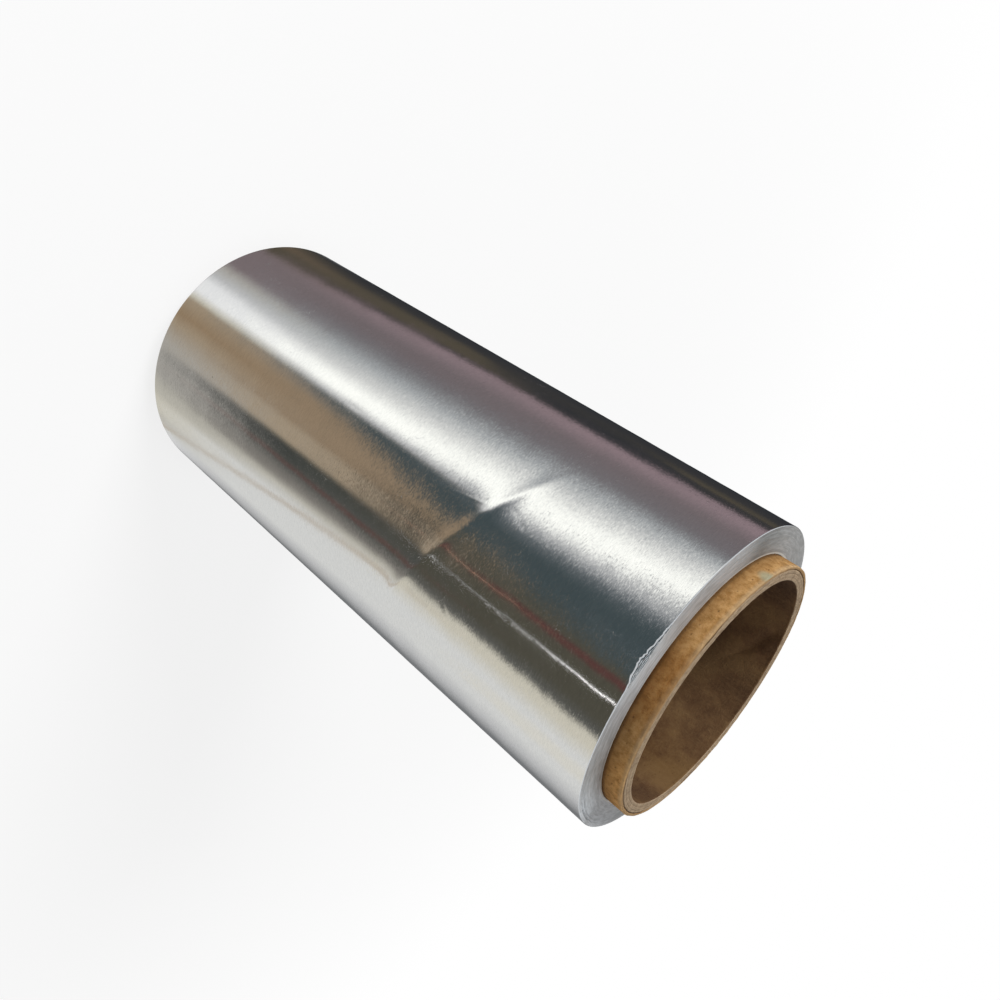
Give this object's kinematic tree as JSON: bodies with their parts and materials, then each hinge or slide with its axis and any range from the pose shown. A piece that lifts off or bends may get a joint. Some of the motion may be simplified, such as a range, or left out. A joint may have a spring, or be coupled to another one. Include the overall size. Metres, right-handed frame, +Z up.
{
  "type": "hair foil roll",
  "caption": "Roll of thin aluminium foil wound on a spiral-wound cardboard core that stands out of the foil at both ends and leaves an open bore.",
  "frame": {"origin": "centre of the core's lower end ring, which the roll stands on", "axes": "+Z up the roll's axis, out of the upper end; -Y is the front, the side that the picture shows; +X to the right of it"},
  "size_m": [0.0562, 0.0562, 0.1272],
  "materials": {
    "foil": "bright rolled foil with fine lines round the roll",
    "core_board": "matte brown kraft paper"
  },
  "bodies": {
    "root": {"foil_winding": "foil", "core_tube": "core_board"}
  },
  "joints": []
}
